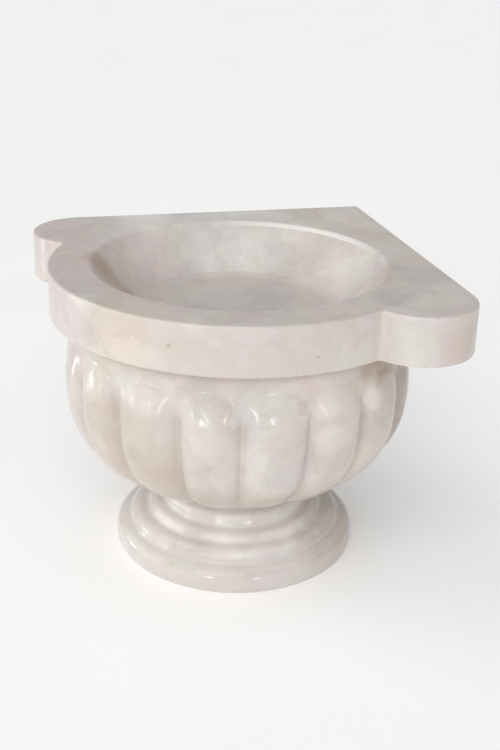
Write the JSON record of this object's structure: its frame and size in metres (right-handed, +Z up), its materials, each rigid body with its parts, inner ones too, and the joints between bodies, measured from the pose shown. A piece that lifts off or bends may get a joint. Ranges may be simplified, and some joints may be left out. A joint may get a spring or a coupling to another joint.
{
  "type": "marble hammam basin",
  "caption": "Corner hammam basin in cream marble: thick corner slab with rounded ears and a round tapered basin, on a lobed bowl and a stepped, turned foot",
  "frame": {"origin": "middle of the foot's flat underside, on the axis that the foot, the bowl and the basin's opening share", "axes": "+Z up; +X and +Y point out of the slab's two wall faces, so the back corner lies in the +X +Y quarter"},
  "size_m": [0.5054, 0.5054, 0.4063],
  "materials": {
    "slab_marble": "polished cream marble, softly mottled",
    "bowl_marble": "polished cream and pinkish marble, softly mottled",
    "foot_marble": "polished cream and greyish marble, softly mottled",
    "adhesive": "cured stone adhesive",
    "pin_steel": "plain stainless bar"
  },
  "bodies": {
    "root": {"corner_slab": "slab_marble", "lobed_bowl": "bowl_marble", "foot": "foot_marble", "slab_bed": "adhesive", "foot_bed": "adhesive", "slab_dowel_1": "pin_steel", "slab_dowel_2": "pin_steel", "slab_dowel_3": "pin_steel", "slab_dowel_4": "pin_steel", "foot_dowel_1": "pin_steel", "foot_dowel_2": "pin_steel", "foot_dowel_3": "pin_steel"}
  },
  "joints": []
}
